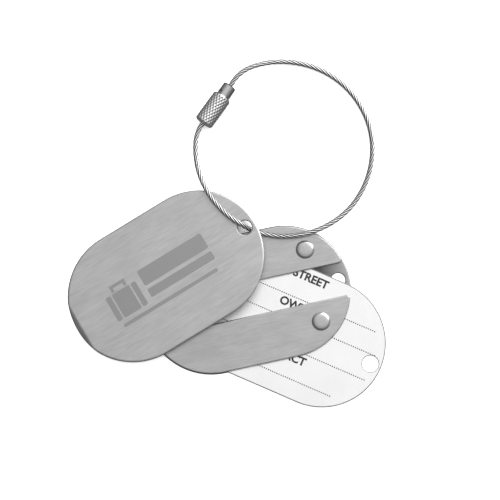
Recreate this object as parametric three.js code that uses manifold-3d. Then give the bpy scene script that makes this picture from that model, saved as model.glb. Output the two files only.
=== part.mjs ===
// Luggage tag: a riveted card holder, its address card, a cover plate and a steel cable loop with a
// screw clasp. Millimetres, +Z up. The origin is the centre of the back plate's underside, and +X points
// to its hanging hole.

import * as THREE from 'three';
import { mergeVertices } from 'three/addons/utils/BufferGeometryUtils.js';
import Module from 'manifold-3d';

const wasm = await Module();
wasm.setup();

// ---- driving dimensions -------------------------------------------------------------------------

const plateLength = 73;
const plateWidth = 46.7;
const sheet = 0.6;
const pocketHeight = 0.5;
const holeRadius = 2.5;
const holeInset = 4.1;
const endSteps = 48;
const holeSteps = 24;
const tipSteps = 8;
const pinSegments = 36;
const barrelSegments = 48;
const stopSegments = 24;
const mergeTolerance = 1e-4;

const frameInset = 0.3;
const windowHalfWidth = 5.8;
const windowEndX = -24.3;
const armTipRadius = 1.2;
const spacerEdgeX = -27;
const shimGap = 0.02;

const headRadius = 3.25;
const headHeight = 0.6;
const headEdge = 0.2;
const headGap = 0.01;
const shankRadius = 1.5;
const shankClearance = 0.12;
const studX = 23.3;
const studY = 12.9;
const rivetX = -30.6;
const rivetY = 7.3;

const cardWidth = 45;
const cardLength = 62.5;
const cardFullLength = 70.4;
const cardThickness = 0.3;
const cardHoleRadius = 2.9;
const cardHoleInset = 4;
const cardHoleAt = [36.94, -30.95];
const cardAngle = -35.7;

const coverHoleAt = [4.25, 24.7];
const coverUnderside = 4;
const coverAngle = 18.9;
const coverTilt = 4.9;
const lipDepth = 2.1;
const lipAngle = 25;

const cableDiameter = 1.6;
const cableSides = 8;
const cableSteps = 78;

const claspFoot = [-2.2, 64.1, 3.45];
const claspAngle = 42.1;
const barrelLength = 11.6;
const barrelRadius = 3.4;
const barrelChamfer = 0.45;
const entryRadius = 1.15;
const entryDepth = 1.6;
const chamberRadius = 2.1;
const chamberEnd = 5.8;
const threadBoreRadius = 1.75;
const collarGap = 0.2;
const collarLength = 4.4;
const collarRadius = 2.4;
const collarChamfer = 0.35;
const studRadius = 1.45;
const studEnd = 6.4;
const cableBoreRadius = 1.1;
const cableBoreEnd = 8;
const stopRadius = 1.75;
const stopStart = 2.2;
const stopLength = 3;

// The cable's centreline, from inside the end ferrule round the loop, over the holder's arm, up through the
// cover plate's hole and into the barrel.
const cableRoute = [
  [7.59, 72.93, 3.45],
  [9.8, 74.93, 3.45],
  [13.0, 77.83, 3.43],
  [17.4, 79.9, 2.95],
  [24.9, 80.6, 2.05],
  [32.4, 79.4, 1.3],
  [39.4, 76.4, 0.95],
  [45.5, 71.8, 0.86],
  [50.3, 65.9, 0.85],
  [53.5, 59.0, 0.85],
  [55.0, 51.6, 0.85],
  [54.6, 44.0, 0.85],
  [52.3, 36.7, 0.86],
  [48.4, 30.2, 0.92],
  [43.1, 24.8, 1.25],
  [38.0, 21.6, 1.85],
  [33.0, 19.6, 2.5],
  [28.2, 18.5, 2.95],
  [23.3, 18.2, 3.15],
  [18.4, 18.7, 3.05],
  [13.7, 19.9, 2.8],
  [10.12, 21.38, 2.66],
  [8.01, 22.52, 2.63],
  [6.65, 23.37, 2.80],
  [5.58, 24.11, 3.28],
  [4.62, 24.83, 4.05],
  [3.84, 25.46, 4.80],
  [2.94, 26.25, 5.38],
  [1.85, 27.28, 5.66],
  [0.48, 28.73, 5.66],
  [-1.52, 31.23, 5.48],
  [-4.4, 36.2, 5.2],
  [-6.3, 41.3, 4.8],
  [-7.3, 46.7, 4.4],
  [-7.3, 52.0, 4.0],
  [-6.6, 56.4, 3.7],
  [-5.5, 59.9, 3.5],
  [-3.68, 62.76, 3.45],
  [-2.2, 64.1, 3.45],
  [-0.79, 65.37, 3.45],
];

// ---- derived levels -----------------------------------------------------------------------------

const frameBottom = sheet + pocketHeight;
const frameTop = frameBottom + sheet;
const cardBottom = sheet + (pocketHeight - cardThickness) / 2;
const holeX = plateLength / 2 - holeInset;
const endCentre = (plateLength - plateWidth) / 2;
const boreRadius = shankRadius + shankClearance;
const radians = THREE.MathUtils.degToRad;

// ---- materials ----------------------------------------------------------------------------------

function metal(color, roughness) {
  return new THREE.MeshStandardMaterial({ color, roughness, metalness: 1 });
}

const platedSteel = metal(0xb4b4b4, 0.38);
const headSteel = metal(0xd6d6d6, 0.22);
const cableSteel = metal(0x9a9a9a, 0.35);
const claspSteel = metal(0xc9c9c9, 0.25);
const cardPaper = new THREE.MeshStandardMaterial({ color: 0xf1f1f1, roughness: 0.7, metalness: 0 });

// ---- solids -------------------------------------------------------------------------------------

function solidFrom(geometry) {
  const bare = geometry.clone();
  bare.deleteAttribute('normal');
  bare.deleteAttribute('uv');
  const merged = mergeVertices(bare, mergeTolerance);
  return new wasm.Manifold(new wasm.Mesh({
    numProp: 3,
    vertProperties: new Float32Array(merged.attributes.position.array),
    triVerts: new Uint32Array(merged.index.array),
  }));
}

function geometryFrom(solid) {
  const result = solid.getMesh();
  const geometry = new THREE.BufferGeometry();
  geometry.setAttribute('position', new THREE.BufferAttribute(new Float32Array(result.vertProperties), 3));
  geometry.setIndex(new THREE.BufferAttribute(new Uint32Array(result.triVerts), 1));
  return geometry;
}

function extruded(outline, holes, bottom, height) {
  const shape = new THREE.Shape(outline);
  shape.holes = holes.map((points) => new THREE.Path(points));
  const geometry = new THREE.ExtrudeGeometry(shape, { depth: height, bevelEnabled: false });
  geometry.translate(0, 0, bottom);
  return geometry;
}

function arc(x, y, radius, from, to, steps) {
  const points = [];
  for (let i = 0; i <= steps; i += 1) {
    const angle = from + ((to - from) * i) / steps;
    points.push(new THREE.Vector2(x + radius * Math.cos(angle), y + radius * Math.sin(angle)));
  }
  return points;
}

function hole(x, y, radius) {
  return arc(x, y, radius, 2 * Math.PI, 0, holeSteps).slice(1);
}

// Two holes at the same X, one on each side of the long axis.
function holePair(x, y, radius) {
  return [hole(x, y, radius), hole(x, -y, radius)];
}

// A long-round outline from one end's centre to the other's, with full half-circle ends.
function longRound(leftX, rightX, radius) {
  return [
    ...arc(rightX, 0, radius, -Math.PI / 2, Math.PI / 2, endSteps),
    ...arc(leftX, 0, radius, Math.PI / 2, 1.5 * Math.PI, endSteps),
  ];
}

function plateOutline() {
  return longRound(-endCentre, endCentre, plateWidth / 2);
}

function turned(profile, segments) {
  const geometry = new THREE.LatheGeometry(profile.map(([r, z]) => new THREE.Vector2(r, z)), segments);
  geometry.rotateX(Math.PI / 2);
  return geometry;
}

// ---- holder -------------------------------------------------------------------------------------

function backPlate() {
  const holes = [hole(holeX, 0, holeRadius), ...holePair(rivetX, rivetY, boreRadius)];
  return extruded(plateOutline(), holes, 0, sheet);
}

// One outline runs round the fork: the outer long-round edge and the open-ended window between the arms.
function springFrame() {
  const radius = plateWidth / 2 - frameInset;
  const tipY = windowHalfWidth + armTipRadius;
  const tipX = endCentre + Math.sqrt((radius - armTipRadius) ** 2 - tipY ** 2);
  const tipAngle = Math.atan2(tipY, tipX - endCentre);
  const windowCentreX = windowEndX + windowHalfWidth;
  const quarter = Math.PI / 2;
  const outline = [
    ...arc(tipX, tipY, armTipRadius, -quarter, tipAngle, tipSteps),
    ...arc(endCentre, 0, radius, tipAngle, quarter, endSteps / 2).slice(1),
    ...arc(-endCentre, 0, radius, quarter, 3 * quarter, endSteps),
    ...arc(endCentre, 0, radius, -quarter, -tipAngle, endSteps / 2),
    ...arc(tipX, -tipY, armTipRadius, -tipAngle, quarter, tipSteps).slice(1),
    ...arc(windowCentreX, 0, windowHalfWidth, 3 * quarter, quarter, holeSteps),
  ];
  const holes = [...holePair(rivetX, rivetY, boreRadius), ...holePair(studX, studY, boreRadius)];
  return extruded(outline, holes, frameBottom, sheet);
}

function frameSpacer() {
  const radius = plateWidth / 2 - frameInset;
  const edgeAngle = Math.acos((-spacerEdgeX - endCentre) / radius);
  const outline = arc(-endCentre, 0, radius, Math.PI - edgeAngle, Math.PI + edgeAngle, endSteps / 2);
  const thickness = pocketHeight - 2 * shimGap;
  return extruded(outline, holePair(rivetX, rivetY, boreRadius), sheet + shimGap, thickness);
}

// A shank from its foot up to the frame, under a flat round head with a rounded rim of radius headEdge.
function headedPin(foot) {
  const seat = frameTop + headGap;
  const top = seat + headHeight;
  const rimMiddle = headEdge * (1 - Math.SQRT1_2);
  const profile = [
    [0, foot],
    [shankRadius, foot],
    [shankRadius, seat],
    [headRadius, seat],
    [headRadius, top - headEdge],
    [headRadius - rimMiddle, top - rimMiddle],
    [headRadius - headEdge, top],
    [0, top],
  ];
  return turned(profile, pinSegments);
}

// ---- card and cover, each drawn about its own hanging hole --------------------------------------

// The inner end is cut straight, so that the card clears the spacer.
function idCard() {
  const radius = cardWidth / 2;
  const rightX = cardHoleInset - radius;
  const leftX = cardHoleInset - cardFullLength + radius;
  const cutX = cardHoleInset - cardLength;
  const cutAngle = Math.acos((leftX - cutX) / radius);
  const quarter = Math.PI / 2;
  const outline = [
    ...arc(leftX, 0, radius, Math.PI + cutAngle, 3 * quarter, endSteps / 4),
    ...arc(rightX, 0, radius, -quarter, quarter, endSteps),
    ...arc(leftX, 0, radius, quarter, Math.PI - cutAngle, endSteps / 4),
  ];
  return extruded(outline, [hole(0, 0, cardHoleRadius)], 0, cardThickness);
}

// The far end of the cover is bent down across the plate, as a shallow lip that catches the holder's edge.
function coverPlate() {
  const radius = plateWidth / 2;
  const leftX = -holeX - endCentre;
  const rightX = endCentre - holeX;
  const bendX = leftX - radius + lipDepth;
  const bendAngle = Math.acos((leftX - bendX) / radius);
  const quarter = Math.PI / 2;
  const flatOutline = [
    ...arc(leftX, 0, radius, Math.PI + bendAngle, 3 * quarter, endSteps / 2),
    ...arc(rightX, 0, radius, -quarter, quarter, endSteps),
    ...arc(leftX, 0, radius, quarter, Math.PI - bendAngle, endSteps / 2),
  ];
  const lipOutline = arc(leftX, 0, radius, Math.PI - bendAngle, Math.PI + bendAngle, holeSteps);
  const flat = extruded(flatOutline, [hole(0, 0, holeRadius)], -sheet / 2, sheet);
  const lip = extruded(lipOutline, [], -sheet / 2, sheet);
  lip.translate(-bendX, 0, -sheet / 2);
  lip.rotateY(-radians(lipAngle));
  lip.translate(bendX, 0, sheet / 2);
  return geometryFrom(solidFrom(flat).add(solidFrom(lip)));
}

// ---- clasp, drawn along +Z from the barrel's foot -----------------------------------------------

function claspBarrel() {
  const c = barrelChamfer;
  const profile = [
    [entryRadius, 0],
    [barrelRadius - c, 0],
    [barrelRadius, c],
    [barrelRadius, barrelLength - c],
    [barrelRadius - c, barrelLength],
    [threadBoreRadius, barrelLength],
    [threadBoreRadius, chamberEnd],
    [chamberRadius, chamberEnd],
    [chamberRadius, entryDepth],
    [entryRadius, entryDepth],
    [entryRadius, 0],
  ];
  return turned(profile, barrelSegments);
}

function endFerrule() {
  const face = barrelLength + collarGap;
  const mouth = face + collarLength;
  const c = collarChamfer;
  const profile = [
    [0, studEnd],
    [studRadius, studEnd],
    [studRadius, face],
    [collarRadius - c, face],
    [collarRadius, face + c],
    [collarRadius, mouth - c],
    [collarRadius - c, mouth],
    [cableBoreRadius, mouth],
    [cableBoreRadius, cableBoreEnd],
    [0, cableBoreEnd],
  ];
  return turned(profile, pinSegments);
}

function cableStop() {
  const end = stopStart + stopLength;
  const profile = [
    [0, stopStart],
    [stopRadius, stopStart],
    [stopRadius, end],
    [0, end],
  ];
  return turned(profile, stopSegments);
}

function loopCable() {
  const section = new THREE.Shape();
  const radius = cableDiameter / 2;
  for (let i = 0; i < cableSides; i += 1) {
    const angle = (2 * Math.PI * i) / cableSides;
    const x = radius * Math.cos(angle);
    const y = radius * Math.sin(angle);
    if (i === 0) {
      section.moveTo(x, y);
    } else {
      section.lineTo(x, y);
    }
  }
  section.closePath();
  const route = new THREE.CatmullRomCurve3(cableRoute.map((p) => new THREE.Vector3(...p)));
  return new THREE.ExtrudeGeometry(section, { steps: cableSteps, bevelEnabled: false, extrudePath: route });
}

// ---- assembly -----------------------------------------------------------------------------------

function named(name, geometry, material) {
  const mesh = new THREE.Mesh(geometryFrom(solidFrom(geometry)), material);
  mesh.name = name;
  return mesh;
}

const tag = new THREE.Group();

const holder = new THREE.Group();
holder.add(named('back_plate', backPlate(), platedSteel));
holder.add(named('spring_frame', springFrame(), platedSteel));
holder.add(named('frame_spacer', frameSpacer(), platedSteel));
for (const [name, side] of [['upper', 1], ['lower', -1]]) {
  const rivet = named(`frame_rivet_${name}`, headedPin(shimGap), headSteel);
  rivet.position.set(rivetX, side * rivetY, 0);
  const stud = named(`clamp_stud_${name}`, headedPin(frameBottom + shimGap), headSteel);
  stud.position.set(studX, side * studY, 0);
  holder.add(rivet, stud);
}
tag.add(holder);

const card = named('id_card', idCard(), cardPaper);
card.position.set(cardHoleAt[0], cardHoleAt[1], cardBottom);
card.rotation.z = radians(cardAngle);
tag.add(card);

// The cover rests on the rivet heads and on the table, so it tips down away from the holder's hole.
const towardsHolder = new THREE.Vector3(holeX - coverHoleAt[0], -coverHoleAt[1], 0).normalize();
const tiltAxis = towardsHolder.clone().cross(new THREE.Vector3(0, 0, 1));
const cover = named('cover_plate', coverPlate(), platedSteel);
cover.position.set(coverHoleAt[0], coverHoleAt[1], coverUnderside + sheet / 2);
cover.quaternion.setFromAxisAngle(tiltAxis, radians(coverTilt));
cover.rotateZ(radians(coverAngle));
tag.add(cover);

const clasp = new THREE.Group();
clasp.add(named('clasp_barrel', claspBarrel(), claspSteel));
clasp.add(named('end_ferrule', endFerrule(), claspSteel));
clasp.add(named('cable_stop', cableStop(), claspSteel));
clasp.position.set(...claspFoot);
clasp.rotation.set(0, Math.PI / 2, radians(claspAngle), 'ZYX');
tag.add(clasp);

tag.add(named('loop_cable', loopCable(), cableSteel));

export default tag;
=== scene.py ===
"""Luggage tag: the finished look of each sub-part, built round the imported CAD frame.

Shapes are drawn in millimetres, each in its own part's frame, and turned into metres when a mesh is made.
"""

import math

import bmesh
import bpy
from mathutils import Matrix, Vector


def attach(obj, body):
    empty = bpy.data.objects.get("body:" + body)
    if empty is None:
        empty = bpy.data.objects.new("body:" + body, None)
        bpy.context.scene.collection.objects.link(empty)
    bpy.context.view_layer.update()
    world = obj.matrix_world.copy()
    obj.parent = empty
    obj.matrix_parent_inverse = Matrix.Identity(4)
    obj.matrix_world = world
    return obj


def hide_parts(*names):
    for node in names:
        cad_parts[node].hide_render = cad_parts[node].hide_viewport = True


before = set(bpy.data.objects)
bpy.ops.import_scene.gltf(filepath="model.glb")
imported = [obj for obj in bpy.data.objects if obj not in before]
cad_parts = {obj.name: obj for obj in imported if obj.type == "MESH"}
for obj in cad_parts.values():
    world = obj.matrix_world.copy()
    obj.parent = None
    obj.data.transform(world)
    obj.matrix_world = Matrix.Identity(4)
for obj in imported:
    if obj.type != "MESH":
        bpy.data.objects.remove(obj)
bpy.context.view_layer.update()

MM = 0.001

# ---- driving dimensions, as in the CAD (mm) ------------------------------------------------------

PLATE_LENGTH = 73
PLATE_WIDTH = 46.7
SHEET = 0.6
POCKET = 0.5
HOLE_RADIUS = 2.5
HOLE_INSET = 4.1

FRAME_INSET = 0.3
WINDOW_HALF_WIDTH = 5.8
WINDOW_END_X = -24.3
ARM_TIP_RADIUS = 1.2
SPACER_EDGE_X = -27
SHIM_GAP = 0.02

HEAD_RADIUS = 3.25
HEAD_HEIGHT = 0.6
SHANK_RADIUS = 1.5
PIN_HOLE_GAP = 0.06
HEAD_GAP = 0.01
FOOT_GAP = 0.02
STUD_AT = (23.3, 12.9)
RIVET_AT = (-30.6, 7.3)

CARD_WIDTH = 45
CARD_LENGTH = 62.5
CARD_FULL_LENGTH = 70.4
CARD_THICKNESS = 0.3
CARD_HOLE_RADIUS = 2.9
CARD_HOLE_INSET = 4
CARD_HOLE_AT = (36.94, -30.95)
CARD_ANGLE = math.radians(-35.7)

COVER_HOLE_AT = (4.25, 24.7)
COVER_UNDERSIDE = 4
COVER_ANGLE = math.radians(18.9)
COVER_TILT = math.radians(4.9)
LIP_DEPTH = 2.1
LIP_ANGLE = math.radians(25)

ROPE_RADIUS = 0.85
CLASP_FOOT = (-2.2, 64.1, 3.45)
CLASP_ANGLE = math.radians(42.1)
BARREL_LENGTH = 11.6
BARREL_RADIUS = 3.4
ENTRY_RADIUS = 1.15
ENTRY_DEPTH = 1.6
CHAMBER_RADIUS = 2.1
CHAMBER_END = 5.8
THREAD_BORE_RADIUS = 1.75
COLLAR_GAP = 0.2
COLLAR_LENGTH = 4.4
COLLAR_RADIUS = 2.4
STUD_RADIUS = 1.45
STUD_END = 6.4
THREAD_PITCH = 0.5
CABLE_BORE_RADIUS = 1.1
CABLE_BORE_END = 8
STOP_RADIUS = 1.75
STOP_START = 2.2
STOP_LENGTH = 3

CABLE_ROUTE = [
    (7.59, 72.93, 3.45), (9.8, 74.93, 3.45), (13.0, 77.83, 3.43), (17.4, 79.9, 2.95),
    (24.9, 80.6, 2.05), (32.4, 79.4, 1.3), (39.4, 76.4, 0.95), (45.5, 71.8, 0.86),
    (50.3, 65.9, 0.85), (53.5, 59.0, 0.85), (55.0, 51.6, 0.85), (54.6, 44.0, 0.85),
    (52.3, 36.7, 0.86), (48.4, 30.2, 0.92), (43.1, 24.8, 1.25), (38.0, 21.6, 1.85),
    (33.0, 19.6, 2.5), (28.2, 18.5, 2.95), (23.3, 18.2, 3.15), (18.4, 18.7, 3.05),
    (13.7, 19.9, 2.8), (10.12, 21.38, 2.66), (8.01, 22.52, 2.63), (6.65, 23.37, 2.80),
    (5.58, 24.11, 3.28), (4.62, 24.83, 4.05), (3.84, 25.46, 4.80), (2.94, 26.25, 5.38),
    (1.85, 27.28, 5.66), (0.48, 28.73, 5.66), (-1.52, 31.23, 5.48), (-4.4, 36.2, 5.2),
    (-6.3, 41.3, 4.8), (-7.3, 46.7, 4.4), (-7.3, 52.0, 4.0), (-6.6, 56.4, 3.7),
    (-5.5, 59.9, 3.5), (-3.68, 62.76, 3.45), (-2.2, 64.1, 3.45), (-0.79, 65.37, 3.45),
]

# ---- derived places (mm) -------------------------------------------------------------------------

FRAME_BOTTOM = SHEET + POCKET
FRAME_TOP = FRAME_BOTTOM + SHEET
CARD_BOTTOM = SHEET + (POCKET - CARD_THICKNESS) / 2
HOLE_X = PLATE_LENGTH / 2 - HOLE_INSET
END_CENTRE = (PLATE_LENGTH - PLATE_WIDTH) / 2
END_RADIUS = PLATE_WIDTH / 2
FULL_TURN = 2 * math.pi
HALF_TURN = math.pi
QUARTER_TURN = math.pi / 2


def moved(x, y, z):
    return Matrix.Translation((x * MM, y * MM, z * MM))


def clasp_place():
    return moved(*CLASP_FOOT) @ Matrix.Rotation(CLASP_ANGLE, 4, "Z") @ Matrix.Rotation(QUARTER_TURN, 4, "Y")


def card_place():
    return moved(*CARD_HOLE_AT, CARD_BOTTOM) @ Matrix.Rotation(CARD_ANGLE, 4, "Z")


def cover_place():
    towards_holder = Vector((HOLE_X - COVER_HOLE_AT[0], -COVER_HOLE_AT[1], 0)).normalized()
    tilt_axis = towards_holder.cross(Vector((0, 0, 1)))
    level = moved(*COVER_HOLE_AT, COVER_UNDERSIDE + SHEET / 2)
    return level @ Matrix.Rotation(COVER_TILT, 4, tilt_axis) @ Matrix.Rotation(COVER_ANGLE, 4, "Z")


# ---- camera and light ----------------------------------------------------------------------------

AIM = Vector((4.4, 16.9, 1.0)) * MM
CAMERA_DISTANCE = 488 * MM
CAMERA_ELEVATION = math.radians(85)
CAMERA_TURN = math.radians(12.3)
SCREEN_UP = Vector((math.sin(CAMERA_TURN), math.cos(CAMERA_TURN), 0))
SCREEN_RIGHT = Vector((math.cos(CAMERA_TURN), -math.sin(CAMERA_TURN), 0))


def make_camera():
    """A long lens that looks down steeply, turned so that SCREEN_RIGHT is level in the picture."""
    data = bpy.data.cameras.new("camera")
    data.lens = 100
    data.sensor_width = 36
    data.clip_start = 10 * MM
    camera = bpy.data.objects.new("camera", data)
    bpy.context.scene.collection.objects.link(camera)
    back = -SCREEN_UP * math.cos(CAMERA_ELEVATION) + Vector((0, 0, math.sin(CAMERA_ELEVATION)))
    camera.location = AIM + back * CAMERA_DISTANCE
    camera.rotation_mode = "QUATERNION"
    axes = Matrix((SCREEN_RIGHT, back.cross(SCREEN_RIGHT), back)).transposed()
    camera.rotation_quaternion = axes.to_quaternion()
    bpy.context.scene.camera = camera


def area_light(name, azimuth, elevation, distance, size, watts, glossy):
    """A round soft light that gives the tag only reflections (glossy) or only diffuse light.

    Azimuth starts at +X.
    """
    data = bpy.data.lights.new(name, "AREA")
    data.shape = "DISK"
    data.size = size
    data.energy = watts
    light = bpy.data.objects.new(name, data)
    bpy.context.scene.collection.objects.link(light)
    a, e = math.radians(azimuth), math.radians(elevation)
    back = Vector((math.cos(a) * math.cos(e), math.sin(a) * math.cos(e), math.sin(e)))
    light.location = AIM + back * distance
    light.rotation_mode = "QUATERNION"
    light.rotation_quaternion = back.to_track_quat("Z", "Y")
    light.visible_glossy = glossy
    light.visible_diffuse = not glossy


DOME_CENTRE = (SCREEN_UP * 0.6 + SCREEN_RIGHT * 0.4 + Vector((0, 0, 1))).normalized()
DOME_STOPS = [(-0.4, 0.14), (0.1, 0.22), (0.5, 0.46), (0.8, 0.87), (1.0, 1.3)]


def make_world():
    """A soft studio dome: brightest above the far right of the tag and dark low down on the near side."""
    world = bpy.data.worlds.new("studio")
    world.use_nodes = True
    bpy.context.scene.world = world
    nodes, links = world.node_tree.nodes, world.node_tree.links
    direction = nodes.new("ShaderNodeTexCoord")
    toward = nodes.new("ShaderNodeVectorMath")
    toward.operation = "DOT_PRODUCT"
    toward.inputs[1].default_value = DOME_CENTRE
    spread = nodes.new("ShaderNodeMapRange")
    spread.inputs["From Min"].default_value = -1.0
    ramp = nodes.new("ShaderNodeValToRGB")
    links.new(direction.outputs["Generated"], toward.inputs[0])
    links.new(toward.outputs["Value"], spread.inputs["Value"])
    links.new(spread.outputs["Result"], ramp.inputs[0])
    links.new(ramp.outputs["Color"], nodes["Background"].inputs["Color"])
    elements = ramp.color_ramp.elements
    while len(elements) < len(DOME_STOPS):
        elements.new(1.0)
    for element, (place, grey) in zip(elements, DOME_STOPS):
        element.position = (place + 1) / 2
        element.color = (grey, grey, grey, 1)


FLOOR_SIZE = 2400 * MM
FLOOR_DROP = 0.02 * MM
FLOOR_GLOW = 0.7
SHADE_REACH = 12 * MM


def make_floor():
    """A white table with painted light: it glows, and the glow fades out where something hangs close over
    it, which paints shade there.
    """
    bpy.ops.mesh.primitive_plane_add(size=FLOOR_SIZE, location=(0, 0, -FLOOR_DROP))
    floor = bpy.context.object
    floor.name = "floor"
    material = bpy.data.materials.new("floor")
    material.use_nodes = True
    shader = material.node_tree.nodes["Principled BSDF"]
    shader.inputs["Base Color"].default_value = (0.92, 0.92, 0.92, 1)
    shader.inputs["Roughness"].default_value = 0.9
    shader.inputs["Emission Color"].default_value = (1, 1, 1, 1)
    openness = material.node_tree.nodes.new("ShaderNodeAmbientOcclusion")
    openness.inputs["Distance"].default_value = SHADE_REACH
    glow = material.node_tree.nodes.new("ShaderNodeMapRange")
    glow.inputs["From Min"].default_value = 0.2
    glow.inputs["From Max"].default_value = 0.6
    glow.inputs["To Max"].default_value = FLOOR_GLOW
    material.node_tree.links.new(openness.outputs["AO"], glow.inputs["Value"])
    material.node_tree.links.new(glow.outputs["Result"], shader.inputs["Emission Strength"])
    floor.data.materials.append(material)
    floor.visible_glossy = False


# ---- materials -----------------------------------------------------------------------------------


class Nodes:
    """A short way to write one material's node tree."""

    def __init__(self, name, place=None):
        """place is where the piece's own frame lies in the row frame, if its pattern follows that frame."""
        self.material = bpy.data.materials.new(name)
        self.material.use_nodes = True
        self.tree = self.material.node_tree
        self.shader = self.tree.nodes["Principled BSDF"]
        self.place = self.tree.nodes.new("ShaderNodeTexCoord").outputs["Object"]
        if place is not None:
            back = self.node("ShaderNodeMapping", vector_type="TEXTURE")
            back.inputs["Location"].default_value = place.to_translation()
            back.inputs["Rotation"].default_value = place.to_euler()
            self.link(self.place, back.inputs["Vector"])
            self.place = back.outputs["Vector"]

    def node(self, kind, **settings):
        made = self.tree.nodes.new(kind)
        for name, value in settings.items():
            setattr(made, name, value)
        return made

    def link(self, start, end):
        self.tree.links.new(start, end)

    def noise(self, per_metre, detail=3.0, roughness=0.55, seed=0.0):
        """Noise with that many features to the metre along X, Y and Z of the piece."""
        mapping = self.node("ShaderNodeMapping")
        mapping.inputs["Scale"].default_value = per_metre
        mapping.inputs["Location"].default_value = (seed, seed * 1.7, seed * 2.3)
        self.link(self.place, mapping.inputs["Vector"])
        noise = self.node("ShaderNodeTexNoise")
        noise.inputs["Scale"].default_value = 1.0
        noise.inputs["Detail"].default_value = detail
        noise.inputs["Roughness"].default_value = roughness
        self.link(mapping.outputs["Vector"], noise.inputs["Vector"])
        return noise.outputs["Fac"]

    def attribute(self, name):
        return self.node("ShaderNodeAttribute", attribute_name=name).outputs["Fac"]

    def remap(self, value, low, high, start=0.3, end=0.7):
        """value from start to end becomes low to high."""
        node = self.node("ShaderNodeMapRange")
        node.inputs["From Min"].default_value = start
        node.inputs["From Max"].default_value = end
        node.inputs["To Min"].default_value = low
        node.inputs["To Max"].default_value = high
        self.link(value, node.inputs["Value"])
        return node.outputs["Result"]

    def combine(self, operation, a, b):
        """a and b can be sockets or numbers."""
        node = self.node("ShaderNodeMath", operation=operation)
        for socket, value in zip(node.inputs, (a, b)):
            if isinstance(value, (int, float)):
                socket.default_value = value
            else:
                self.link(value, socket)
        return node.outputs["Value"]

    def times(self, a, b):
        return self.combine("MULTIPLY", a, b)

    def plus(self, a, b):
        return self.combine("ADD", a, b)

    def grey(self, value):
        node = self.node("ShaderNodeCombineColor")
        for name in ("Red", "Green", "Blue"):
            self.link(value, node.inputs[name])
        return node.outputs["Color"]

    def colour(self, value):
        self.link(self.grey(value), self.shader.inputs["Base Color"])

    def roughness(self, value):
        self.link(value, self.shader.inputs["Roughness"])

    def bump(self, height, distance, strength=1.0):
        node = self.node("ShaderNodeBump")
        node.inputs["Strength"].default_value = strength
        node.inputs["Distance"].default_value = distance
        self.link(height, node.inputs["Height"])
        self.link(node.outputs["Normal"], self.shader.inputs["Normal"])

    def metal(self):
        self.shader.inputs["Metallic"].default_value = 1.0


def brushed_steel(name, grey, seed, place=None, shade_until=None):
    """Satin sheet brushed along the piece's own X, with cloudy patches. When given an X, it is darkened
    below it with painted shade, down to a fifth 9 mm further in.
    """
    n = Nodes(name, place)
    n.metal()
    grain = n.noise((220, 3600, 3600), detail=4, seed=seed)
    streak = n.noise((110, 800, 800), detail=2, seed=seed + 3)
    cloud = n.noise((90, 160, 160), detail=2, seed=seed + 7)
    tone = n.times(n.remap(grain, 0.90, 1.10), n.remap(streak, 0.96, 1.04))
    tone = n.times(tone, n.remap(cloud, 0.95, 1.05))
    if shade_until is not None:
        # painted shade: darker towards low X, where the arm's shadow falls into the pocket
        along = n.node("ShaderNodeSeparateXYZ")
        n.link(n.place, along.inputs["Vector"])
        tone = n.times(tone, n.remap(along.outputs["X"], 0.2, 1.0, shade_until - 9 * MM, shade_until))
    n.colour(n.times(tone, grey))
    n.roughness(n.plus(n.remap(grain, -0.05, 0.05), n.remap(cloud, 0.35, 0.39)))
    n.bump(n.plus(grain, n.times(streak, 0.5)), 0.01 * MM, 0.5)
    return n.material


def polished_head():
    """Bright pressed heads with a fine pitted face."""
    n = Nodes("head_steel")
    n.metal()
    pits = n.noise((3800, 3800, 3800), detail=2, seed=2)
    cloud = n.noise((450, 450, 450), detail=2, seed=5)
    n.colour(n.times(n.remap(pits, 0.485, 0.515), n.remap(cloud, 0.95, 1.05)))
    n.roughness(n.remap(pits, 0.2, 0.3))
    n.bump(pits, 0.008 * MM, 0.2)
    return n.material


def hollow_shaded_steel(name, low, high, rough_low, rough_high, seed, hollow=0.0):
    """Bright steel with painted shade: it is dark where the attribute 'crown' is under hollow, in gaps,
    grooves and recesses.
    """
    n = Nodes(name)
    n.metal()
    crown = n.attribute("crown")
    mottle = n.noise((1800, 1800, 1800), detail=3, seed=seed)
    # painted shade: the colour follows the crown attribute, dark in hollows
    tone = n.times(n.remap(crown, low, high, hollow, 1.0), n.remap(mottle, 0.92, 1.08))
    n.colour(tone)
    n.roughness(n.plus(n.remap(crown, rough_high, rough_low, 0.0, 1.0), n.remap(mottle, -0.03, 0.03)))
    n.bump(mottle, 0.01 * MM, 0.4)
    return n.material


def card_stock():
    """Coated white card: a slight tooth, faint cloudiness and a soft gloss."""
    n = Nodes("card")
    tooth = n.noise((2200, 2200, 2200), detail=3, seed=1)
    cloud = n.noise((90, 90, 90), detail=2, seed=4)
    n.colour(n.times(n.remap(cloud, 0.76, 0.80), n.remap(tooth, 0.985, 1.015)))
    n.roughness(n.remap(tooth, 0.42, 0.55))
    n.bump(tooth, 0.01 * MM, 0.35)
    return n.material


def card_edge_shade():
    """The card's cut rim, greyer than its face, and painted darker still as the shade along the card's
    edge.
    """
    n = Nodes("card_edge_shade")
    fibre = n.noise((3000, 3000, 3000), detail=3, seed=12)
    n.colour(n.remap(fibre, 0.16, 0.26))
    n.roughness(n.remap(fibre, 0.5, 0.65))
    n.bump(fibre, 0.01 * MM, 0.4)
    return n.material


def ink():
    """Dark printing ink, a little uneven."""
    n = Nodes("ink")
    mottle = n.noise((2600, 2600, 2600), detail=2, seed=6)
    n.colour(n.remap(mottle, 0.008, 0.03))
    n.roughness(n.remap(mottle, 0.45, 0.6))
    return n.material


def etched_steel():
    """The matte floor of an etching."""
    n = Nodes("etched")
    n.metal()
    mottle = n.noise((5200, 5200, 5200), detail=3, seed=8)
    n.colour(n.remap(mottle, 0.35, 0.42))
    n.roughness(n.remap(mottle, 0.5, 0.62))
    n.bump(mottle, 0.01 * MM, 0.6)
    return n.material


# ---- mesh helpers --------------------------------------------------------------------------------


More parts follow.
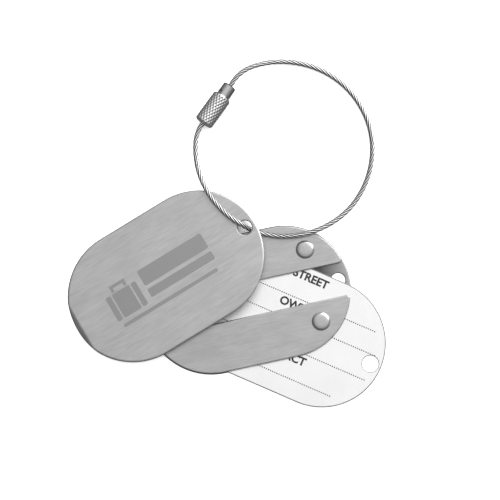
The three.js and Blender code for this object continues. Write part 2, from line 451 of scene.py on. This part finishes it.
def arc(x, y, radius, start, stop, steps):
    points = []
    for i in range(steps + 1):
        angle = start + (stop - start) * i / steps
        points.append((x + radius * math.cos(angle), y + radius * math.sin(angle)))
    return points


def circle(x, y, radius, steps=64):
    """A loop whose inside is material, so it runs counter-clockwise."""
    return arc(x, y, radius, 0, FULL_TURN, steps)[:-1]


def hole(x, y, radius, steps=64):
    """A loop whose outside is material, so it runs clockwise."""
    return circle(x, y, radius, steps)[::-1]


def long_round(length, width, steps=96):
    centre, radius = (length - width) / 2, width / 2
    return (
        arc(centre, 0, radius, -QUARTER_TURN, QUARTER_TURN, steps)
        + arc(-centre, 0, radius, QUARTER_TURN, 3 * QUARTER_TURN, steps)
    )


def outward(loop):
    """The unit normals that point out of the material, at the right hand of the way the loop runs."""
    normals = []
    for i, (x, y) in enumerate(loop):
        ax, ay = loop[i - 1]
        bx, by = loop[(i + 1) % len(loop)]
        first = Vector((y - ay, ax - x)).normalized()
        second = Vector((by - y, x - bx)).normalized()
        both = (first + second).normalized()
        normals.append(both / max(0.5, both.dot(first)))
    return normals


def ring(bm, loop, normals, inset, z):
    return [
        bm.verts.new(((x - n.x * inset) * MM, (y - n.y * inset) * MM, z * MM))
        for (x, y), n in zip(loop, normals)
    ]


def close(bm, lower, upper):
    """Quads between two rings, which face the right hand of the way the rings run."""
    count = len(lower)
    return [
        bm.faces.new((lower[i], lower[(i + 1) % count], upper[(i + 1) % count], upper[i]))
        for i in range(count)
    ]


def fill(bm, rings, material=0):
    """A flat face with holes between rings."""
    edges = []
    for verts in rings:
        for i, vert in enumerate(verts):
            edge = bm.edges.get((vert, verts[(i + 1) % len(verts)]))
            edges.append(edge or bm.edges.new((vert, verts[(i + 1) % len(verts)])))
    made = bmesh.ops.triangle_fill(bm, use_beauty=True, edges=edges)["geom"]
    for face in made:
        if isinstance(face, bmesh.types.BMFace):
            face.material_index = material


def rounded_profile(bottom, top, roll, drop, burr, burr_steps=3, roll_steps=7):
    """(inset, z) pairs up a sheet's cut edge: a small round below and a wide rolled round above."""
    lower = []
    for i in range(burr_steps + 1):
        angle = QUARTER_TURN * i / burr_steps
        lower.append((burr * (1 - math.sin(angle)), bottom + burr * (1 - math.cos(angle))))
    upper = []
    for i in range(roll_steps + 1):
        angle = QUARTER_TURN * i / roll_steps
        upper.append((roll * (1 - math.cos(angle)), top - drop * (1 - math.sin(angle))))
    return lower + upper


SHARP_ANGLE = math.radians(38)
COVER_ROLL, COVER_DROP = 0.8, 0.5
HOLDER_ROLL, HOLDER_DROP = 0.5, 0.35
HOLE_ROLL_SHARE = 0.6
ETCH_DEPTH = 0.035
ETCH_SLOPE = 0.03


def piece(name, bm, body, nodes, materials, place=Matrix.Identity(4), smooth=True):
    """Turns a bmesh, drawn in the frame at place, into a piece that stands for those CAD nodes."""
    bmesh.ops.recalc_face_normals(bm, faces=bm.faces)
    bm.transform(place)
    for edge in bm.edges:
        edge.smooth = edge.calc_face_angle(0) < SHARP_ANGLE
    for face in bm.faces:
        face.smooth = smooth
    mesh = bpy.data.meshes.new(name)
    bm.to_mesh(mesh)
    bm.free()
    made = bpy.data.objects.new(name, mesh)
    bpy.context.scene.collection.objects.link(made)
    for material in materials:
        mesh.materials.append(material)
    if smooth:
        weighted = made.modifiers.new("flat faces stay flat", "WEIGHTED_NORMAL")
        weighted.keep_sharp = True
    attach(made, body)
    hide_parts(*nodes)
    return made


def plate_mesh(outline, holes, bottom, top, roll, drop, burr=0.06, etched=(), rim_material=0):
    """A die-cut sheet with rolled upper edges. etched outlines are shallow pockets in its upper face."""
    bm = bmesh.new()
    profile = rounded_profile(bottom, top, roll, drop, burr)
    foot_rings, face_rings = [], []
    for index, loop in enumerate([outline, *holes]):
        share = 1.0 if index == 0 else HOLE_ROLL_SHARE
        normals = outward(loop)
        rings = [ring(bm, loop, normals, inset * share, z) for inset, z in profile]
        for lower, upper in zip(rings, rings[1:]):
            for face in close(bm, lower, upper):
                face.material_index = rim_material
        foot_rings.append(rings[0])
        face_rings.append(rings[-1])
    for loop in etched:
        normals = outward(loop)
        rim = ring(bm, loop, normals, 0, top)
        floor = ring(bm, loop, normals, ETCH_SLOPE, top - ETCH_DEPTH)
        close(bm, floor, rim)
        face_rings.append(rim)
        fill(bm, [floor], material=1)
    fill(bm, foot_rings)
    fill(bm, face_rings)
    return bm


# ---- cable ---------------------------------------------------------------------------------------

STRANDS = 6
LAY_LENGTH = 13
RING_STEP = 0.28
STRAND_SIDES = 12
CORE_SIDES = 8


def catmull_rom(points, per_span=24):
    """A centripetal curve through the points, as in the CAD."""
    knots = [Vector(p) for p in points]
    knots = [knots[0] * 2 - knots[1], *knots, knots[-1] * 2 - knots[-2]]
    line = []
    for a, b, c, d in zip(knots, knots[1:], knots[2:], knots[3:]):
        t1 = (b - a).length ** 0.5
        t2 = t1 + (c - b).length ** 0.5
        t3 = t2 + (d - c).length ** 0.5
        for i in range(per_span):
            t = t1 + (t2 - t1) * i / per_span
            ab = a.lerp(b, t / t1)
            bc = b.lerp(c, (t - t1) / (t2 - t1))
            cd = c.lerp(d, (t - t2) / (t3 - t2))
            abc = ab.lerp(bc, t / t2)
            bcd = bc.lerp(cd, (t - t1) / (t3 - t1))
            line.append(abc.lerp(bcd, (t - t1) / (t2 - t1)))
    line.append(knots[-2])
    return line


def evenly(line, step):
    """The line again, with points the same distance apart."""
    along = [0.0]
    for a, b in zip(line, line[1:]):
        along.append(along[-1] + (b - a).length)
    count = round(along[-1] / step)
    spaced, k = [], 0
    for i in range(count + 1):
        at = along[-1] * i / count
        while k < len(along) - 2 and along[k + 1] < at:
            k += 1
        share = (at - along[k]) / (along[k + 1] - along[k])
        spaced.append(line[k].lerp(line[k + 1], share))
    return spaced


def frames(line):
    """A side vector and an upward vector for each point, carried along without twist."""
    ahead = [(b - a).normalized() for a, b in zip(line, line[1:])]
    ahead.append(ahead[-1])
    side = ahead[0].cross(Vector((0, 0, 1))).normalized()
    result = []
    for i, tangent in enumerate(ahead):
        if i:
            side = ahead[i - 1].rotation_difference(tangent) @ side
        side = (side - tangent * side.dot(tangent)).normalized()
        result.append((side, tangent.cross(side)))
    return result


def tube(bm, crowns, centres, sides, ups, radius, count, crown_of):
    """A closed round tube through centres; crown_of tells how exposed a vertex is."""
    rings = []
    for centre, side, up in zip(centres, sides, ups):
        verts = []
        for k in range(count):
            angle = FULL_TURN * k / count
            point = centre + (side * math.cos(angle) + up * math.sin(angle)) * radius
            vert = bm.verts.new(point * MM)
            vert[crowns] = crown_of(centre, side, up, angle)
            verts.append(vert)
        rings.append(verts)
    for lower, upper in zip(rings, rings[1:]):
        close(bm, lower, upper)
    bm.faces.new(rings[0][::-1])
    bm.faces.new(rings[-1])


def cable(material):
    """Six strands laid round a core."""
    line = evenly(catmull_rom(CABLE_ROUTE), RING_STEP)
    axes = frames(line)
    strand_radius = ROPE_RADIUS / 3
    lay_radius = ROPE_RADIUS - strand_radius
    bm = bmesh.new()
    crowns = bm.verts.layers.float.new("crown")
    core_sides, core_ups = zip(*axes)
    # painted shade: the core's crown is 0, so it is dark all along under the strands
    tube(bm, crowns, line, core_sides, core_ups, strand_radius, CORE_SIDES, lambda *_: 0.0)
    for strand in range(STRANDS):
        centres, sides, ups = [], [], []
        for i, (point, (side, up)) in enumerate(zip(line, axes)):
            angle = FULL_TURN * (strand / STRANDS + i * RING_STEP / LAY_LENGTH)
            out = side * math.cos(angle) + up * math.sin(angle)
            centres.append(point + out * lay_radius)
            sides.append(out)
        for i, out in enumerate(sides):
            tangent = (centres[min(i + 1, len(centres) - 1)] - centres[max(i - 1, 0)]).normalized()
            sides[i] = (out - tangent * out.dot(tangent)).normalized()
            ups.append(tangent.cross(sides[i]))
        # painted shade: each strand's crown falls away from its outer side, so it darkens where it meets
        # its neighbours and the core
        tube(
            bm, crowns, centres, sides, ups, strand_radius, STRAND_SIDES,
            lambda centre, side, up, angle: 0.5 + 0.5 * math.cos(angle),
        )
    made = piece("stranded_cable", bm, "loop", ["loop_cable"], [material])
    return made, line


# ---- clasp ---------------------------------------------------------------------------------------


def smooth_crown(z, angle):
    return 1.0


def no_push(z, angle):
    return 0.0


def turned_mesh(profile, around, crown_of=smooth_crown, push=no_push, pushed=(), fully_shaded=()):
    """Turns a profile of (radius, z) that closes on itself, or that starts and ends on the axis.

    Points whose index is in pushed move out by push(z, angle) and take their crown from crown_of(z, angle).
    Points whose index is in the last list are fully dark, as painted shade.
    """
    bm = bmesh.new()
    crowns = bm.verts.layers.float.new("crown")
    rings = []
    for index, (radius, z) in enumerate(profile):
        if radius == 0:
            vert = bm.verts.new((0, 0, z * MM))
            vert[crowns] = 1.0
            rings.append([vert])
            continue
        verts = []
        for k in range(around):
            angle = FULL_TURN * k / around
            r = radius + (push(z, angle) if index in pushed else 0)
            vert = bm.verts.new((r * math.cos(angle) * MM, r * math.sin(angle) * MM, z * MM))
            vert[crowns] = 0.0 if index in fully_shaded else crown_of(z, angle) if index in pushed else 1.0
            verts.append(vert)
        rings.append(verts)
    pairs = list(zip(rings, rings[1:]))
    if len(rings[0]) > 1:
        pairs.append((rings[-1], rings[0]))
    for a, b in pairs:
        for k in range(around):
            corners = [a[k % len(a)], a[(k + 1) % len(a)], b[(k + 1) % len(b)], b[k % len(b)]]
            corners = list(dict.fromkeys(corners))
            if len(corners) > 2:
                bm.faces.new(corners)
    return bm


def wall(radius, start, end, rows):
    """Profile points evenly up a straight wall."""
    return [(radius, start + (end - start) * i / rows) for i in range(rows + 1)]


KNURLS_AROUND = 18
KNURL_PITCH = 1.93
KNURL_DEPTH = 0.24
KNURL_GROOVE = 0.36
ROWS_PER_KNURL = 14
AROUND_PER_KNURL = 12


def knurl(z, angle):
    """From 0 on a diamond's top to 1 at the bottom of a groove."""
    around, along = angle * KNURLS_AROUND / FULL_TURN, z / KNURL_PITCH
    depths = []
    for phase in (around + along, around - along):
        from_groove = abs(phase - round(phase))
        depths.append(max(0.0, 1 - from_groove / KNURL_GROOVE))
    return sum(depths) / 2


def barrel(material):
    """A knurled sleeve: an entry for the cable, a chamber for its stop and a bore for the stud."""
    chamfer, entry_chamfer, bore_chamfer = 0.45, 0.15, 0.2
    rows = round(BARREL_LENGTH / KNURL_PITCH * ROWS_PER_KNURL)
    outside = wall(BARREL_RADIUS, chamfer, BARREL_LENGTH - chamfer, rows)
    profile = [
        (ENTRY_RADIUS + entry_chamfer, 0),
        (BARREL_RADIUS - chamfer, 0),
        *outside,
        (BARREL_RADIUS - chamfer, BARREL_LENGTH),
        (THREAD_BORE_RADIUS + bore_chamfer, BARREL_LENGTH),
        (THREAD_BORE_RADIUS, BARREL_LENGTH - bore_chamfer),
        (THREAD_BORE_RADIUS, CHAMBER_END),
        (CHAMBER_RADIUS, CHAMBER_END),
        (CHAMBER_RADIUS, ENTRY_DEPTH),
        (ENTRY_RADIUS, ENTRY_DEPTH),
        (ENTRY_RADIUS, entry_chamfer),
    ]
    bm = turned_mesh(
        profile, KNURLS_AROUND * AROUND_PER_KNURL,
        # painted shade: the crown falls to 0 in the knurl's grooves, so their bottoms are dark
        crown_of=lambda z, angle: 1 - knurl(z, angle),
        push=lambda z, angle: -KNURL_DEPTH * knurl(z, angle),
        pushed=range(2, 2 + len(outside)),
    )
    place = clasp_place()
    return piece("knurled_barrel", bm, "barrel", ["clasp_barrel"], [material], place)


def thread_height(z, angle):
    """From 0 at a thread's root to 1 on its crest."""
    phase = z / THREAD_PITCH - angle / FULL_TURN
    return abs(phase - round(phase)) * 2


THREAD_DEPTH = 0.22
STEPS_PER_THREAD = 10
DIMPLE_TURN = math.radians(43)
DIMPLE_ALONG = 0.75
DIMPLE_RADIUS = 0.62
DIMPLE_DEPTH = 0.4


def ferrule(material):
    """A threaded stud under a smooth collar that has a punched dimple and a mouth painted dark as shade."""
    face = BARREL_LENGTH + COLLAR_GAP
    mouth = face + COLLAR_LENGTH
    chamfer, tip_chamfer, neck, mouth_chamfer = 0.25, 0.3, 0.1, 0.15
    thread_steps = round((face - STUD_END) / THREAD_PITCH * STEPS_PER_THREAD)
    stud = wall(STUD_RADIUS, STUD_END + 0.25, face - 0.05, thread_steps)
    collar = wall(COLLAR_RADIUS, face + chamfer, mouth - chamfer, 30)
    profile = [
        (0, STUD_END),
        (STUD_RADIUS - tip_chamfer, STUD_END),
        *stud,
        (STUD_RADIUS - neck, face),
        (COLLAR_RADIUS - chamfer, face),
        *collar,
        (COLLAR_RADIUS - chamfer, mouth),
        (CABLE_BORE_RADIUS + mouth_chamfer, mouth),
        (CABLE_BORE_RADIUS, mouth - mouth_chamfer),
        (CABLE_BORE_RADIUS, CABLE_BORE_END),
        (0, CABLE_BORE_END),
    ]

    def from_dimple(z, angle):
        """How many dimple radii a point is from the middle. The collar's top is at half a turn."""
        turn = (angle + DIMPLE_TURN) % FULL_TURN - HALF_TURN
        return math.hypot(turn * COLLAR_RADIUS, z - face - DIMPLE_ALONG) / DIMPLE_RADIUS

    def push(z, angle):
        if z < face:
            return -THREAD_DEPTH * (1 - thread_height(z, angle))
        return -DIMPLE_DEPTH * math.exp(-(from_dimple(z, angle) ** 2) * 2)

    def crown(z, angle):
        """Painted shade: threads are dark at their roots, and the dimple has a dark rim."""
        if z < face:
            return thread_height(z, angle)
        return 1 - 0.9 * math.exp(-(((from_dimple(z, angle) - 0.85) / 0.3) ** 2))

    stud_start = 2
    collar_start = stud_start + len(stud) + 2
    collar_end = collar_start + len(collar)
    pushed = [*range(stud_start, stud_start + len(stud)), *range(collar_start, collar_end)]
    # the mouth's points are painted fully dark, as shade inside the bore
    mouth_points = range(collar_end - 1, collar_end + 4)
    bm = turned_mesh(profile, 96, crown_of=crown, push=push, pushed=pushed, fully_shaded=mouth_points)
    place = clasp_place()
    return piece("crimped_ferrule", bm, "ferrule", ["end_ferrule"], [material], place)


STOP_FLAT = 0.9
STOP_SLACK = 0.05


def stop(material):
    """A sleeve pressed flat on six sides."""
    chamfer = 0.3
    end = STOP_START + STOP_LENGTH
    low, high = STOP_START + chamfer, end - chamfer
    outside = wall(STOP_RADIUS, low, high, 10)
    profile = [
        (0, STOP_START),
        (STOP_RADIUS - chamfer, STOP_START),
        *outside,
        (STOP_RADIUS - chamfer, end),
        (0, end),
    ]

    def press(z, angle):
        """The flats are deepest half way up."""
        sixth = FULL_TURN / 6
        off = (angle + sixth / 2) % sixth - sixth / 2
        middle = math.sin(math.pi * min(1.0, max(0.0, (z - low) / (high - low))))
        return -STOP_RADIUS * (1 - STOP_FLAT / math.cos(off)) * middle ** 0.5 - STOP_SLACK

    bm = turned_mesh(profile, 60, push=press, pushed=range(2, 2 + len(outside)))
    place = clasp_place()
    return piece("crimped_stop", bm, "loop", ["cable_stop"], [material], place)


# ---- holder --------------------------------------------------------------------------------------


def pin_holes(place):
    """The pair of holes for the pins at place and its mirror image."""
    x, y = place
    return [hole(x, side * y, SHANK_RADIUS + PIN_HOLE_GAP, 32) for side in (1, -1)]


def back_plate(material):
    holes = [hole(HOLE_X, 0, HOLE_RADIUS), *pin_holes(RIVET_AT)]
    outline = long_round(PLATE_LENGTH, PLATE_WIDTH)
    bm = plate_mesh(outline, holes, 0, SHEET, HOLDER_ROLL, HOLDER_DROP)
    return piece("pressed_back_plate", bm, "holder", ["back_plate"], [material])


def spring_frame(material):
    """A fork: two arms with round tips beside a window that is open at one end."""
    radius = END_RADIUS - FRAME_INSET
    tip_y = WINDOW_HALF_WIDTH + ARM_TIP_RADIUS
    tip_x = END_CENTRE + math.sqrt((radius - ARM_TIP_RADIUS) ** 2 - tip_y**2)
    tip_angle = math.atan2(tip_y, tip_x - END_CENTRE)
    window_x = WINDOW_END_X + WINDOW_HALF_WIDTH
    outline = (
        arc(tip_x, tip_y, ARM_TIP_RADIUS, -QUARTER_TURN, tip_angle, 14)
        + arc(END_CENTRE, 0, radius, tip_angle, QUARTER_TURN, 48)[1:]
        + arc(-END_CENTRE, 0, radius, QUARTER_TURN, 3 * QUARTER_TURN, 96)
        + arc(END_CENTRE, 0, radius, -QUARTER_TURN, -tip_angle, 48)
        + arc(tip_x, -tip_y, ARM_TIP_RADIUS, -tip_angle, QUARTER_TURN, 14)[1:]
        + arc(window_x, 0, WINDOW_HALF_WIDTH, 3 * QUARTER_TURN, QUARTER_TURN, 48)
    )
    holes = [*pin_holes(STUD_AT), *pin_holes(RIVET_AT)]
    bm = plate_mesh(outline, holes, FRAME_BOTTOM, FRAME_TOP, HOLDER_ROLL, HOLDER_DROP)
    return piece("pressed_spring_frame", bm, "holder", ["spring_frame"], [material])


def spacer(material):
    """The round end of the plate, cut off along a straight edge."""
    radius = END_RADIUS - FRAME_INSET
    edge = math.acos((-SPACER_EDGE_X - END_CENTRE) / radius)
    outline = arc(-END_CENTRE, 0, radius, HALF_TURN - edge, HALF_TURN + edge, 48)
    bottom, top = SHEET + SHIM_GAP, FRAME_BOTTOM - SHIM_GAP
    bm = plate_mesh(outline, pin_holes(RIVET_AT), bottom, top, roll=0.1, drop=0.1, burr=0.05)
    return piece("pressed_spacer", bm, "holder", ["frame_spacer"], [material])


def headed_pin(name, x, y, foot, node, material):
    """A shank under a flat head with a slightly rounded bevel."""
    seat = FRAME_TOP + HEAD_GAP
    top = seat + HEAD_HEIGHT
    shank_chamfer, undercut, bevel, dome = 0.15, 0.06, 0.9, 0.03
    steep, shallow = math.radians(45), math.radians(20)
    bow = bevel / (math.sin(steep) - math.sin(shallow))
    rim = []
    for i in range(9):
        tilt = steep + (shallow - steep) * i / 8
        across = HEAD_RADIUS - bow * (math.sin(steep) - math.sin(tilt))
        rim.append((across, top - dome - bow * (math.cos(shallow) - math.cos(tilt))))
    profile = [
        (0, foot),
        (SHANK_RADIUS - shank_chamfer, foot),
        (SHANK_RADIUS, foot + shank_chamfer),
        (SHANK_RADIUS, seat),
        (HEAD_RADIUS - undercut, seat),
        *rim,
        (1.2, top - 0.006),
        (0, top),
    ]
    bm = turned_mesh(profile, 72)
    return piece(name, bm, "holder", [node], [material], moved(x, y, 0))


# ---- card ----------------------------------------------------------------------------------------

LABEL_HEIGHT = 2.75
LABEL_BOLD = 0.14
CAPS_SHARE = 0.69  # of the font's size that a capital letter is high
PRINT_LIFT = 0.004
PRINT_THICKNESS = 0.012
LINE_PITCH = 0.8
LINE_DOT = 0.4
CARD_CENTRE_X = CARD_HOLE_INSET - CARD_FULL_LENGTH / 2

# (y, start x, end x) of each line and (word, x, y) of each label, from the middle of the full card
FIELD_LINES = [(10.9, -20, 28.9), (3.1, -24, 32), (-6.1, -24, 32), (-16.0, -20, 23)]
FIELD_LABELS = [("STREET", -6.0, 19.0), ("OWNER", -6.6, 8.2), ("CONTACT", -9.2, -8.9)]


def card(materials):
    """A long-round card whose hidden end is cut off straight."""
    radius = CARD_WIDTH / 2
    right_x = CARD_HOLE_INSET - radius
    left_x = CARD_HOLE_INSET - CARD_FULL_LENGTH + radius
    cut = math.acos((left_x - (CARD_HOLE_INSET - CARD_LENGTH)) / radius)
    outline = (
        arc(left_x, 0, radius, HALF_TURN + cut, 3 * QUARTER_TURN, 32)
        + arc(right_x, 0, radius, -QUARTER_TURN, QUARTER_TURN, 96)
        + arc(left_x, 0, radius, QUARTER_TURN, HALF_TURN - cut, 32)
    )
    bm = plate_mesh(
        outline, [hole(0, 0, CARD_HOLE_RADIUS)], 0, CARD_THICKNESS,
        roll=0.38, drop=0.25, burr=0.03, rim_material=1,
    )
    return piece("address_card", bm, "card", ["id_card"], materials, card_place())


def field_lines(material):
    """Four dotted writing lines, each dot a little raised pad of ink."""
    bm = bmesh.new()
    size = Vector((LINE_DOT, LINE_DOT, PRINT_THICKNESS)) * MM
    for y, start, end in FIELD_LINES:
        for i in range(round((end - start) / LINE_PITCH)):
            x = CARD_CENTRE_X + start + i * LINE_PITCH
            low = Vector((x, y - LINE_DOT / 2, CARD_THICKNESS + PRINT_LIFT)) * MM
            place = Matrix.Translation(low + size / 2) @ Matrix.Diagonal((*size, 1))
            bmesh.ops.create_cube(bm, size=1, matrix=place)
    return piece("field_lines", bm, "card", [], [material], card_place(), smooth=False)


def field_labels(material):
    """Three plain words that say what to write, in Blender's own font."""
    bm = bmesh.new()
    for word, x, y in FIELD_LABELS:
        text = bpy.data.curves.new(word, "FONT")
        text.body = word
        text.size = LABEL_HEIGHT / CAPS_SHARE * MM
        text.extrude = PRINT_THICKNESS / 2 * MM
        text.offset = LABEL_BOLD * MM
        text.align_y = "CENTER"
        holder = bpy.data.objects.new(word, text)
        mesh = bpy.data.meshes.new_from_object(holder)
        mesh.transform(moved(CARD_CENTRE_X + x, y, CARD_THICKNESS + PRINT_LIFT + PRINT_THICKNESS / 2))
        bm.from_mesh(mesh)
        bpy.data.objects.remove(holder)
        bpy.data.curves.remove(text)
        bpy.data.meshes.remove(mesh)
    bmesh.ops.remove_doubles(bm, verts=bm.verts, dist=0.0005 * MM)
    return piece("field_labels", bm, "card", [], [material], card_place(), smooth=False)


# ---- cover ---------------------------------------------------------------------------------------

BEND_RADIUS = 2.0
BEND_CUTS = 6
COVER_CENTRE_X = -HOLE_X


def rounded_box(x, y, width, height, corner, steps=6):
    """The outline of a box centred at (x, y), counter-clockwise from its lower right corner."""
    points = []
    for sign_x, sign_y, turn in ((1, -1, -1), (1, 1, 0), (-1, 1, 1), (-1, -1, 2)):
        centre_x = x + sign_x * (width / 2 - corner)
        centre_y = y + sign_y * (height / 2 - corner)
        points += arc(centre_x, centre_y, corner, turn * QUARTER_TURN, (turn + 1) * QUARTER_TURN, steps)
    return points


def suitcase(x, y):
    """A case in three panels under an arched handle."""
    height, corner = 9.4, 0.6
    foot = y + height / 2 + 0.5
    handle = [
        (x + 3, foot), (x + 3, foot + 2.4), (x - 3, foot + 2.4), (x - 3, foot),
        (x - 1.9, foot), (x - 1.9, foot + 1.3), (x + 1.9, foot + 1.3), (x + 1.9, foot),
    ]
    panels = [
        rounded_box(x + offset, y, width, height, corner)
        for offset, width in ((-5.1, 2), (0, 7), (5.1, 2))
    ]
    return [handle, *panels]


def etched_motif():
    """A plain suitcase sign and three blank bars, where an owner's own mark would be engraved."""
    x = COVER_CENTRE_X
    shapes = [
        *suitcase(x - 16.2, -0.6),
        rounded_box(x + 5, 3.6, 26, 6, 0.8),
        rounded_box(x + 5, -2.4, 26, 3.2, 0.6),
        rounded_box(x - 2.3, -7.6, 38, 1.3, 0.5),
    ]
    return [loop[::-1] for loop in shapes]


def bend_lip(bm):
    """Bends the far end of the cover down through a small round."""
    bend_x = -HOLE_X - PLATE_LENGTH / 2 + LIP_DEPTH
    start = bend_x + BEND_RADIUS * math.tan(LIP_ANGLE / 2)
    arc_length = BEND_RADIUS * LIP_ANGLE
    for i in range(BEND_CUTS + 1):
        x = start - arc_length * i / BEND_CUTS
        geometry = [*bm.verts, *bm.edges, *bm.faces]
        bmesh.ops.bisect_plane(bm, geom=geometry, plane_co=(x * MM, 0, 0), plane_no=(1, 0, 0), dist=1e-8)
    for vert in bm.verts:
        past = start - vert.co.x / MM
        if past <= 0:
            continue
        z = vert.co.z / MM
        turn = min(past, arc_length) / BEND_RADIUS
        rest = max(0.0, past - arc_length)
        x = start - (BEND_RADIUS + z) * math.sin(turn) - rest * math.cos(turn)
        z = -BEND_RADIUS + (BEND_RADIUS + z) * math.cos(turn) - rest * math.sin(turn)
        vert.co.x, vert.co.z = x * MM, z * MM


def cover(materials):
    """The etched plate, with its own frame's origin at the hanging hole, half way through the sheet."""
    outline = [(x + COVER_CENTRE_X, y) for x, y in long_round(PLATE_LENGTH, PLATE_WIDTH)]
    holes = [hole(0, 0, HOLE_RADIUS)]
    bm = plate_mesh(outline, holes, -SHEET / 2, SHEET / 2, COVER_ROLL, COVER_DROP, etched=etched_motif())
    bend_lip(bm)
    return piece("pressed_cover", bm, "cover", ["cover_plate"], materials, cover_place())


# ---- the whole tag -------------------------------------------------------------------------------

make_camera()
make_world()
area_light("key", azimuth=60, elevation=56, distance=0.9, size=0.7, watts=6, glossy=False)
area_light("sheen", azimuth=36, elevation=28, distance=0.9, size=1.1, watts=6, glossy=True)
make_floor()

clasp_steel = hollow_shaded_steel("clasp_steel", 0.05, 0.95, 0.18, 0.4, seed=3)
cable_piece, cable_line = cable(hollow_shaded_steel("cable_steel", 0.02, 0.95, 0.25, 0.5, seed=9, hollow=0.7))
barrel_piece = barrel(clasp_steel)
ferrule_piece = ferrule(hollow_shaded_steel("ferrule_steel", 0.03, 0.5, 0.14, 0.4, seed=4))
stop_piece = stop(clasp_steel)

holder_steel = brushed_steel("holder_steel", 0.49, seed=1)
head_steel = polished_head()
# the back plate's steel is a darker copy of the holder's as painted shade, and painted shade darkens its
# pocket towards the arm
back_plate(brushed_steel("back_steel", 0.44, seed=6, shade_until=36 * MM))
spring_frame(holder_steel)
spacer(holder_steel)
for side_name, side in (("upper", 1), ("lower", -1)):
    rivet_node = f"frame_rivet_{side_name}"
    stud_node = f"clamp_stud_{side_name}"
    headed_pin(f"rivet_{side_name}", RIVET_AT[0], side * RIVET_AT[1], FOOT_GAP, rivet_node, head_steel)
    stud_foot = FRAME_BOTTOM + FOOT_GAP
    headed_pin(f"stud_{side_name}", STUD_AT[0], side * STUD_AT[1], stud_foot, stud_node, head_steel)

card_ink = ink()
card([card_stock(), card_edge_shade()])
field_lines(card_ink)
field_labels(card_ink)
cover([brushed_steel("cover_steel", 0.54, seed=5, place=cover_place()), etched_steel()])

bpy.context.scene.view_settings.view_transform = "Standard"
